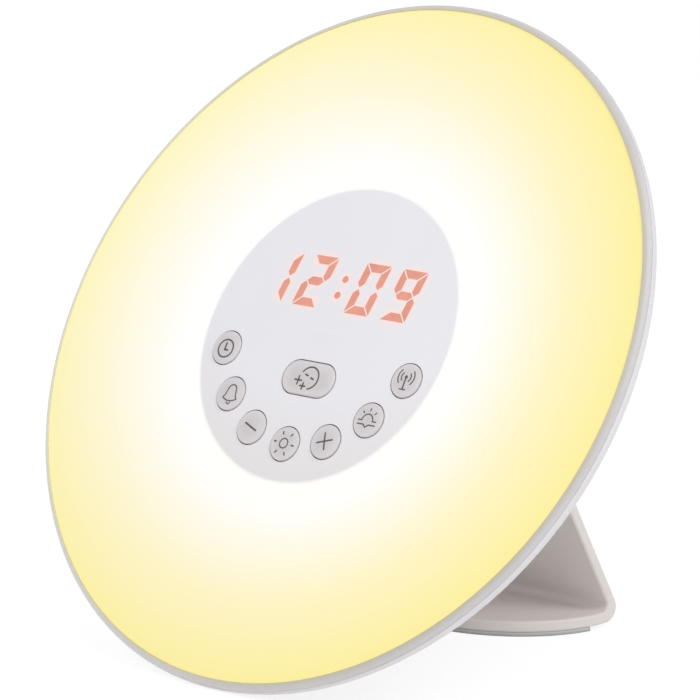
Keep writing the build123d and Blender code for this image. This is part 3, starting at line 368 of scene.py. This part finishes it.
# The rim's lip has painted shade, most on its right, and painted warm lens light on its inner edge.
rim = moulded("rim_plastic", RIM, 0.38)
across_lip = rim.span(rim.radius(0.0, 0.0), LENS_R, LENS_R + LIP_W, 0.0, 1.0)
painted_lip_shade = rim.mix(
    rim.facing(LEFT, 2.0),
    rim.ramp(
        across_lip,
        [(0.0, screen(213, 207, 168)), (0.45, screen(221, 217, 210)), (1.0, screen(238, 236, 240))],
    ),
    rim.ramp(
        across_lip,
        [(0.0, screen(255, 253, 228)), (0.5, screen(250, 250, 244)), (1.0, screen(247, 247, 247))],
    ),
)
rim.link(rim.mix(1.0, rim.colour, painted_lip_shade, "MULTIPLY"), rim.shader.inputs["Base Color"])
materials["rim_plastic"] = rim.material

# Painted shade: each key is a shade darker in its middle than along its edge.
ROUND_KEYS = ("clock", "alarm", "minus", "light", "plus", "sunrise", "radio")
KEY_BOXES = {
    name: box_of([v.co for v in NODES[f"{name}_button"].data.vertices])
    for name in (*ROUND_KEYS, "snooze")
}
KEY_EDGE = min(box[3] for box in KEY_BOXES.values())
keys = moulded("key_plastic", KEY, 0.40, cloud=5 * MM)
painted_key_shade = keys.ramp(
    keys.span(
        keys.gap([(x, y, w - KEY_EDGE, h - KEY_EDGE) for x, y, w, h in KEY_BOXES.values()]),
        0.0,
        KEY_EDGE,
        0.0,
        1.0,
    ),
    [(0.3, screen(238, 237, 238)), (0.95, WHITE)],
)
keys.link(keys.mix(1.0, keys.colour, painted_key_shade, "MULTIPLY"), keys.shader.inputs["Base Color"])
materials["key_plastic"] = keys.material

# The lamp's lens. It is lit from behind, so part of its colour is its own glow. Its colours are
# given by their distance from its middle, in millimetres.
GLOW = 0.95
lens = Maker("lens_plastic")
LENS_REACH = 90.0
PALE_SIDE = ((42.0, (255, 255, 254)), (64.0, (255, 250, 225)), (84.0, (254, 246, 189)))
DEEP_SIDE = ((42.0, (255, 254, 251)), (64.0, (253, 243, 194)), (84.0, (252, 238, 152)))


def lens_stops(side):
    return [(r / LENS_REACH, scaled(screen(*c), 1 / (1 + GLOW))) for r, c in side]


# It is palest towards its upper left and deepest towards its lower right.
lens_radius = lens.span(lens.radius(0.0, 0.0), 0.0, LENS_REACH * MM, 0.0, 1.0)
lens_colour = lens.mix(
    lens.facing(UPPER_LEFT, 2.6),
    lens.ramp(lens_radius, lens_stops(DEEP_SIDE)),
    lens.ramp(lens_radius, lens_stops(PALE_SIDE)),
)
lens.link(lens_colour, lens.shader.inputs["Base Color"])
lens.link(lens_colour, lens.shader.inputs["Emission Color"])
lens.set(Emission_Strength=GLOW, Coat_Weight=0.0, Specular_IOR_Level=0.3)
lens.gloss(lens.noise(9 * MM, 3.0), 0.42, 0.5)
lens.bump(lens.noise(0.5 * MM, 2.0), 0.004 * MM)
materials["lens_plastic"] = lens.material

# Painted glow on the milky panel: it glows a little at its edge, from the lens, and round the lit
# digits.
DIGIT_LEAN = math.tan(math.radians(8.0))
panel = Maker("panel_plastic")
lit_pieces = pieces_of("display_digits") + pieces_of("display_colon")
CORE = 0.75 * MM  # from a segment's middle line to its long edge
TIP = 1.5 * MM  # how far its ends taper
HALO_REACH = 1.8 * MM
EDGE_BAND = (35.3 * MM, 36.1 * MM)
WARM_FROM = (0.0, 36.0 * MM)  # the panel is a shade warmer away from this point of its top
WARM_BAND = (50.0 * MM, 72.0 * MM)
lit_boxes = [
    (x, y, max(0.0, w - (TIP if w > h else CORE)), max(0.0, h - (CORE if w > h else TIP)))
    for x, y, w, h in (box_of(points, DIGIT_LEAN) for points in lit_pieces)
]
from_digits = panel.gap(lit_boxes, DIGIT_LEAN)
painted_halo = panel.ramp(
    panel.span(from_digits, CORE, CORE + HALO_REACH, 0.0, 1.0),
    [(0.0, WHITE), (0.22, scaled(WHITE, 0.72)), (0.5, scaled(WHITE, 0.25)), (1.0, BLACK)],
)
near_edge = panel.span(panel.radius(0.0, 0.0), *EDGE_BAND, 0.0, 1.0)
panel_colour = panel.ramp(
    panel.noise(30 * MM, detail=2.0), [(0.25, scaled(PANEL, 0.98)), (0.75, PANEL)]
)
low_warmth = panel.ramp(
    panel.span(panel.radius(*WARM_FROM), *WARM_BAND, 0.0, 1.0),
    [(0.0, WHITE), (1.0, screen(250, 247, 243))],
)
panel_colour = panel.mix(1.0, panel_colour, low_warmth, "MULTIPLY")
panel_colour = panel.mix(painted_halo, panel_colour, screen(246, 218, 212))
panel.link(panel_colour, panel.shader.inputs["Base Color"])
painted_edge_glow = panel.ramp(near_edge, [(0.0, BLACK), (1.0, screen(120, 119, 116))], smooth=True)
panel.link(panel.mix(painted_halo, painted_edge_glow, screen(84, 66, 64)), panel.shader.inputs["Emission Color"])
panel.set(Emission_Strength=1.0)
panel.gloss(panel.noise(9 * MM, 3.0), 0.40, 0.47)
panel.bump(panel.noise(0.5 * MM, 2.0), 0.004 * MM)
materials["panel_plastic"] = panel.material

# Part of a digit's colour is its own glow too. What it reflects and its glow add up to the screen
# colours given.
DIGIT_GLOW = 0.62
DIGIT_SCALE = 0.62
digit = Maker("digit_light")
digit_colour = digit.ramp(
    digit.noise(3.5 * MM, detail=2.0),
    [
        (0.3, scaled(screen(219, 145, 125), DIGIT_SCALE)),
        (0.7, scaled(screen(232, 158, 139), DIGIT_SCALE)),
    ],
)
digit.link(digit_colour, digit.shader.inputs["Base Color"])
digit.link(digit_colour, digit.shader.inputs["Emission Color"])
digit.set(Emission_Strength=DIGIT_GLOW)
digit.gloss(digit.noise(2 * MM), 0.4, 0.5)
digit.bump(digit.noise(0.4 * MM), 0.003 * MM)
materials["digit_light"] = digit.material

# The pad has painted shade, darker towards the table.
pad = moulded("pad_rubber", screen(206, 209, 207), 0.75, grain=0.3 * MM, depth=0.03 * MM, tint=0.04)
pad_height = pad.vector("DOT_PRODUCT", pad.place, (0.0, 0.0, 1.0), "Value")
painted_pad_shade = pad.ramp(
    pad.span(pad_height, 0.0, 0.7 * MM, 0.0, 1.0), [(0.0, screen(190, 190, 190)), (1.0, WHITE)]
)
pad.link(pad.mix(1.0, pad.colour, painted_pad_shade, "MULTIPLY"), pad.shader.inputs["Base Color"])
materials["pad_rubber"] = pad.material

SLOT_OF = {row["node"]: row["material_slot"] for row in frame["record"]["subparts"]}
for node_name, node in NODES.items():
    node.data.materials.clear()
    node.data.materials.append(materials[SLOT_OF[node_name]])

# ---------------------------------------------------------------- symbols on the keys

INK_RISE = 0.03 * MM
INK_SINK = 0.08 * MM
INK_STEP = 0.18 * MM
CAP_TURNS = (80, 55, 30)  # degrees round a stroke's end, where its outline has points
MOST_STRETCH = 2.0  # of a stroke's width, at a sharp bend
DOT_RUN = 0.02  # length of the short stroke that makes a dot, in millimetres


def arc(cx, cy, r, start, end):
    """Points of an arc, in millimetres, from one angle in degrees to another."""
    count = max(4, int(abs(math.radians(end - start)) * r * MM / INK_STEP) + 1)
    angles = [math.radians(start + (end - start) * i / count) for i in range(count + 1)]
    return [(cx + r * math.cos(a), cy + r * math.sin(a)) for a in angles]


def refined(points, closed):
    """The same line with a point at least every INK_STEP."""
    pairs = list(zip(points, points[1:] + points[:1] if closed else points[1:]))
    out = []
    for (x0, y0), (x1, y1) in pairs:
        count = max(1, math.ceil(math.hypot(x1 - x0, y1 - y0) * MM / INK_STEP))
        out += [(x0 + (x1 - x0) * i / count, y0 + (y1 - y0) * i / count) for i in range(count)]
    return out if closed else out + [points[-1]]


def outline_pairs(points, width, closed):
    """Left and right edge points, in millimetres, along a line drawn with a round pen."""
    line = [Vector(p) for p in refined(points, closed)]
    count = len(line)
    pairs = []
    for i, p in enumerate(line):
        before = line[i - 1] if closed or i else p
        after = line[(i + 1) % count] if closed or i < count - 1 else p
        turn_in = (p - before).normalized() if (p - before).length else (after - p).normalized()
        turn_out = (after - p).normalized() if (after - p).length else turn_in
        along = (turn_in + turn_out).normalized()
        normal = Vector((-along.y, along.x))
        stretch = 1 / max(1 / MOST_STRETCH, normal.dot(Vector((-turn_in.y, turn_in.x))))
        pairs.append((p, along, normal * stretch * width / 2))
    if closed:
        return [(p + n, p - n) for p, _, n in pairs]
    caps = []
    for turn in CAP_TURNS:
        back = math.sin(math.radians(turn)) * width / 2
        caps.append((back, math.cos(math.radians(turn))))
    start, end = pairs[0], pairs[-1]
    head, tail = [], []
    for back, across in caps:
        base = start[0] - start[1] * back
        head.append((base + start[2] * across, base - start[2] * across))
    for back, across in reversed(caps):
        base = end[0] + end[1] * back
        tail.append((base + end[2] * across, base - end[2] * across))
    return head + [(p + n, p - n) for p, _, n in pairs] + tail


class Symbol:
    """Printed symbol that lies on a key's crown, as thin closed strips of ink.

    It is drawn in millimetres from the key's middle, and turned by an angle in degrees."""

    def __init__(self, key, turn=0.0):
        self.name, self.body = f"{key}_symbol", f"{key}_key"
        self.x, self.y = KEY_BOXES[key][:2]
        self.turn = math.radians(turn)
        source = NODES[f"{key}_button"].data
        self.tree = BVHTree.FromPolygons(
            [v.co for v in source.vertices], [p.vertices for p in source.polygons]
        )
        self.points, self.faces = [], []

    def land(self, u, v):
        """Where a point of the symbol, in millimetres, lies on the key."""
        c, s = math.cos(self.turn), math.sin(self.turn)
        x = self.x + (u * c - v * s) * MM
        y = self.y + (u * s + v * c) * MM
        hit = self.tree.ray_cast(on_face(x, y, 10 * MM), -OUT)[0]
        return hit if hit is not None else on_face(x, y, DOME_RISE)

    def stroke(self, points, width=0.34, closed=False):
        pairs = outline_pairs(points, width, closed)
        first = len(self.points)
        for left, right in pairs:
            a, b = self.land(*left), self.land(*right)
            self.points += [a + OUT * INK_RISE, b + OUT * INK_RISE]
            self.points += [b - OUT * INK_SINK, a - OUT * INK_SINK]
        count = len(pairs)
        for i in range(count if closed else count - 1):
            here, there = first + 4 * i, first + 4 * ((i + 1) % count)
            for k in range(4):
                n = (k + 1) % 4
                self.faces.append((here + k, here + n, there + n, there + k))
        if not closed:
            self.faces.append((first + 3, first + 2, first + 1, first))
            last = first + 4 * (count - 1)
            self.faces.append((last, last + 1, last + 2, last + 3))

    def dot(self, u, v, r=0.24):
        self.stroke([(u - DOT_RUN / 2, v), (u + DOT_RUN / 2, v)], width=2 * r)

    def finish(self):
        mesh = bpy.data.meshes.new(self.name)
        mesh.from_pydata([tuple(p) for p in self.points], [], self.faces)
        mesh.validate()
        mesh.materials.append(materials["ink"])
        piece = bpy.data.objects.new(self.name, mesh)
        bpy.context.scene.collection.objects.link(piece)
        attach(piece, self.body)


clock = Symbol("clock")
clock.stroke(arc(0.05, -0.3, 2.15, 0, 354), width=0.38, closed=True)
clock.stroke([(-0.1, 0.95), (-0.1, -0.65), (0.8, -0.65)], width=0.44)
clock.finish()

alarm = Symbol("alarm")
bell = [(-1.65, -1.15), (-1.2, -0.55)]
bell += arc(0.35, 0.95, 1.15, 165, 15)
bell += [(1.9, -0.55), (2.35, -1.15)]
bell += arc(0.35, 1.75, 3.55, -56, -124)
alarm.stroke(bell, width=0.3, closed=True)
alarm.stroke(arc(0.35, -2.0, 0.55, 200, 340), width=0.28)
alarm.finish()

minus = Symbol("minus", turn=-21.0)
minus.stroke([(-1.95, 0.0), (1.95, 0.0)], width=0.44)
minus.finish()

light = Symbol("light")
light.stroke(arc(0, 0, 1.15, 0, 352), width=0.3, closed=True)
for ray in range(6):
    a = math.radians(60 * ray - 4)
    light.stroke([(r * math.cos(a), r * math.sin(a)) for r in (2.35, 2.95)], width=0.36)
light.finish()

plus = Symbol("plus", turn=18.0)
plus.stroke([(-2.1, 0.0), (2.1, 0.0)], width=0.4)
plus.stroke([(0.0, 0.19), (0.0, 2.0)], width=0.4)
plus.stroke([(0.0, -0.19), (0.0, -2.0)], width=0.4)
plus.finish()

sunrise = Symbol("sunrise")
horizon = [(-2.55, -0.25), (-1.7, -0.25)]
horizon += arc(0.0, -0.25, 1.55, 180, 0)
horizon += [(1.7, -0.25), (2.55, -0.25)]
sunrise.stroke(horizon, width=0.3)
sunrise.stroke([(-2.55, -1.2), (-0.75, -1.2), (0.0, -1.85), (0.75, -1.2), (2.55, -1.2)], width=0.3)
for ray in (45, 90, 135):
    a = math.radians(ray)
    sunrise.stroke([(r * math.cos(a), r * math.sin(a) - 0.1) for r in (2.2, 2.75)], width=0.28)
sunrise.finish()

radio = Symbol("radio")
radio.stroke([(0.0, 0.35), (0.0, -2.2)], width=0.4)
radio.stroke([(-0.8, -2.2), (-0.2, -2.2)], width=0.3)
radio.stroke([(0.2, -2.2), (0.8, -2.2)], width=0.3)
radio.dot(0.0, 0.75, r=0.42)
for reach in (1.35, 2.3):
    radio.stroke(arc(0.0, 0.75, reach, -42, 42), width=0.3)
    radio.stroke(arc(0.0, 0.75, reach, 138, 222), width=0.3)
radio.finish()

# A sleeping face with two stars beside it.
snooze = Symbol("snooze")
snooze.stroke(arc(0.35, 0.1, 2.65, 152, -78), width=0.38)
for eye_x, eye_y in ((-0.62, 0.73), (1.22, 0.07)):
    snooze.stroke([(eye_x - 0.4, eye_y + 0.12), (eye_x + 0.4, eye_y - 0.12)], width=0.42)
for star_x, star_y, size in ((-2.6, -0.75, 1.0), (-0.8, -2.0, 0.75)):
    snooze.stroke([(star_x - size, star_y), (star_x + size, star_y)], width=0.4)
    snooze.stroke([(star_x, star_y + 0.21), (star_x, star_y + size)], width=0.4)
    snooze.stroke([(star_x, star_y - 0.21), (star_x, star_y - size)], width=0.4)
snooze.finish()

# ---------------------------------------------------------------- floor, light and camera

# The camera, reflections and clear surfaces see a floor that glows white. For the object's own
# light it is plain white paper.
FLOOR_SIZE = 6.0
PAPER_SHADE, SEEN_SHADE = 0.88, 0.25
PAPER_GLOW, SEEN_GLOW = 0.0, 0.82


def seen_by(tree, *rays):
    """1 for these kinds of ray and 0 for all others."""
    path = tree.nodes.new("ShaderNodeLightPath")
    seen = path.outputs[rays[0]]
    for ray in rays[1:]:
        either = tree.nodes.new("ShaderNodeMath")
        either.operation = "MAXIMUM"
        tree.links.new(seen, either.inputs[0])
        tree.links.new(path.outputs[ray], either.inputs[1])
        seen = either.outputs["Value"]
    return seen


def two_levels(tree, seen, unseen_level, seen_level, socket):
    """Gives a socket one level for the rays that see it and another for the rest."""
    level = tree.nodes.new("ShaderNodeMapRange")
    level.inputs["To Min"].default_value = unseen_level
    level.inputs["To Max"].default_value = seen_level
    tree.links.new(seen, level.inputs["Value"])
    tree.links.new(level.outputs["Result"], socket)


floor_mesh = bpy.data.meshes.new("floor")
half = FLOOR_SIZE / 2
floor_mesh.from_pydata(
    [(-half, -half, 0), (half, -half, 0), (half, half, 0), (-half, half, 0)], [], [(0, 1, 2, 3)]
)
floor = bpy.data.objects.new("floor", floor_mesh)
bpy.context.scene.collection.objects.link(floor)

cover = bpy.data.materials.new("floor_white")
cover.use_nodes = True
tree = cover.node_tree
surface = tree.nodes["Principled BSDF"]
surface.inputs["Roughness"].default_value = 0.9
surface.inputs["Specular IOR Level"].default_value = 0.1
surface.inputs["Emission Color"].default_value = (1.0, 1.0, 1.0, 1.0)
seen = seen_by(tree, "Is Camera Ray", "Is Glossy Ray", "Is Transmission Ray")
two_levels(tree, seen, PAPER_SHADE, SEEN_SHADE, surface.inputs["Base Color"])
two_levels(tree, seen, PAPER_GLOW, SEEN_GLOW, surface.inputs["Emission Strength"])
floor_mesh.materials.append(cover)

# The world is white where it is seen, and lights the object with less.
WORLD_LIGHT = 0.61

world = bpy.data.worlds.new("studio")
bpy.context.scene.world = world
world.use_nodes = True
sky = world.node_tree
background = sky.nodes["Background"]
background.inputs["Color"].default_value = (1.0, 1.0, 1.0, 1.0)
sky_seen = seen_by(sky, "Is Camera Ray", "Is Transmission Ray")
two_levels(sky, sky_seen, WORLD_LIGHT, 1.0, background.inputs["Strength"])


def towards(azimuth, elevation):
    """Unit direction from the clock; azimuth 0 is straight in front and 90 is its right."""
    a, e = math.radians(azimuth), math.radians(elevation)
    return Vector((math.sin(a) * math.cos(e), -math.cos(a) * math.cos(e), math.sin(e)))


def softbox(name, azimuth, elevation, distance, size, watts):
    """A square lamp that faces the clock."""
    data = bpy.data.lights.new(name, "AREA")
    data.shape = "SQUARE"
    data.size = size
    data.energy = watts
    lamp = bpy.data.objects.new(name, data)
    lamp.location = FACE + towards(azimuth, elevation) * distance
    lamp.rotation_euler = towards(azimuth, elevation).to_track_quat("Z", "Y").to_euler()
    bpy.context.scene.collection.objects.link(lamp)


softbox("front_lamp", azimuth=-20.0, elevation=35.0, distance=1.3, size=0.8, watts=4.1)
softbox("side_lamp", azimuth=87.0, elevation=45.0, distance=1.2, size=0.6, watts=4.4)
softbox("low_lamp", azimuth=60.0, elevation=8.0, distance=1.2, size=0.5, watts=0.33)

# The camera's place, lens and shift, fitted to the photograph
CAMERA_DISTANCE = 1.098
CAMERA_AZIMUTH, CAMERA_ELEVATION = 42.428, 11.366
SENSOR_W, FOCAL_LENGTH = 36.0, 249.71
SHIFT_X, SHIFT_Y = 0.02229, -0.01532

back = towards(CAMERA_AZIMUTH, CAMERA_ELEVATION)
camera_data = bpy.data.cameras.new("camera")
camera_data.sensor_width = SENSOR_W
camera_data.lens = FOCAL_LENGTH
camera_data.shift_x = SHIFT_X
camera_data.shift_y = SHIFT_Y
camera_data.clip_start = 0.01
camera = bpy.data.objects.new("camera", camera_data)
camera.location = FACE + back * CAMERA_DISTANCE
camera.rotation_euler = back.to_track_quat("Z", "Y").to_euler()
bpy.context.scene.collection.objects.link(camera)
bpy.context.scene.camera = camera

bpy.context.scene.view_settings.view_transform = "Standard"
